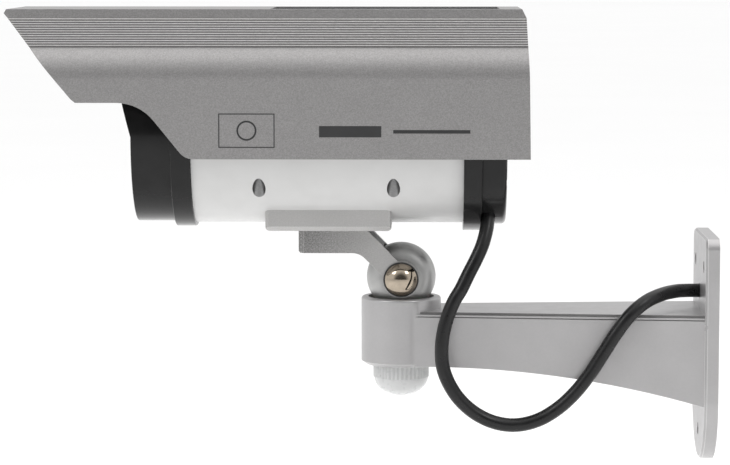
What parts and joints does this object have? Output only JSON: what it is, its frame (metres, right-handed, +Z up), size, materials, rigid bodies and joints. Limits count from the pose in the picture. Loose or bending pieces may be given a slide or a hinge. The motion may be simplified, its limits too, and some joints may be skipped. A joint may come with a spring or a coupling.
{
  "type": "solar-powered security camera",
  "caption": "Bullet security camera under a sun visor with a solar panel, on a wall bracket with a pan and tilt ball joint and one looped cable.",
  "frame": {"origin": "centre of the wall plate's flat back face, on the wall's surface", "axes": "+X into the wall, -X the way the camera looks, +Z up, +Y across"},
  "size_m": [0.245, 0.075, 0.1582],
  "materials": {
    "bracket_silver": "satin silver paint",
    "nylon": "off-white nylon",
    "cable_black": "black PVC sheath",
    "ball_silver": "satin turned metal",
    "zinc_steel": "zinc plated",
    "knob_clear": "translucent light grey",
    "brass_insert": "plain brass",
    "visor_paint": "metallic silver-grey paint with fine sparkle",
    "panel_back": "dark board",
    "solar_cell": "dark blue silicon",
    "panel_cover": "clear cover",
    "barrel_paint": "light satin silver paint",
    "black_gloss": "semi-gloss black",
    "window_tint": "smoked clear plastic",
    "seal_rubber": "black rubber",
    "board_green": "green solder mask",
    "led_clear": "clear epoxy",
    "led_red": "red epoxy",
    "lens_black": "matt black",
    "lens_coated": "coated glass",
    "sled_grey": "grey moulding",
    "cell_wrap": "green shrink wrap",
    "contact_metal": "nickel plated",
    "chip_black": "black epoxy",
    "wire_red": "red insulation",
    "wire_yellow": "yellow insulation",
    "saddle_silver": "silver paint, fine grain",
    "foot_silver": "cast metal with silver paint",
    "liner_black": "black moulding",
    "chrome_bolt": "polished"
  },
  "bodies": {
    "bracket": {"wall_bracket": "bracket_silver", "ball_seat": "nylon", "thrust_washer": "nylon", "cable_lower": "cable_black"},
    "knuckle": {"pivot_ball": "ball_silver", "clamp_stud": "zinc_steel"},
    "knob": {"clamp_knob": "knob_clear", "knob_insert": "brass_insert"},
    "head": {"sun_visor": "visor_paint", "visor_screws": "zinc_steel", "solar_backing": "panel_back", "solar_cells": "solar_cell", "panel_glass": "panel_cover", "barrel": "barrel_paint", "front_hood": "black_gloss", "window_bezel": "black_gloss", "front_window": "window_tint", "window_gasket": "seal_rubber", "led_board": "board_green", "ir_leds": "led_clear", "status_led": "led_red", "lens_housing": "lens_black", "lens_glass": "lens_coated", "lens_ring": "lens_black", "sensor_board": "board_green", "inner_sled": "sled_grey", "battery_holder": "sled_grey", "battery_cells": "cell_wrap", "battery_contacts": "contact_metal", "control_board": "board_green", "board_parts": "chip_black", "solar_wires": "wire_red", "led_wires": "wire_yellow", "battery_wires": "wire_red", "rear_flange": "black_gloss", "cap_gasket": "seal_rubber", "rear_cap": "black_gloss", "cap_screws": "zinc_steel", "cable_grommet": "seal_rubber", "cable_upper": "cable_black", "saddle_plate": "saddle_silver", "mount_screws": "zinc_steel", "foot_bracket": "foot_silver", "fork_liner": "liner_black", "pivot_bolt": "chrome_bolt", "pivot_washers": "seal_rubber", "pivot_nut": "zinc_steel"}
  },
  "joints": [
    {"name": "pan", "type": "hinge", "parent": "bracket", "child": "knuckle", "pos_m": [-0.1095, 0, 0.0243], "axis": [0, 0, 1], "range_deg": [-60, 60], "deforming": ["cable_lower"]},
    {"name": "tilt", "type": "hinge", "parent": "knuckle", "child": "head", "pos_m": [-0.1095, 0, 0.0243], "axis": [0, -1, 0], "range_deg": [-20, 45], "deforming": ["cable_upper"]},
    {"name": "knob_turn", "type": "hinge", "parent": "bracket", "child": "knob", "pos_m": [-0.1095, 0, -0.0065], "axis": [0, 0, 1], "continuous": true}
  ]
}
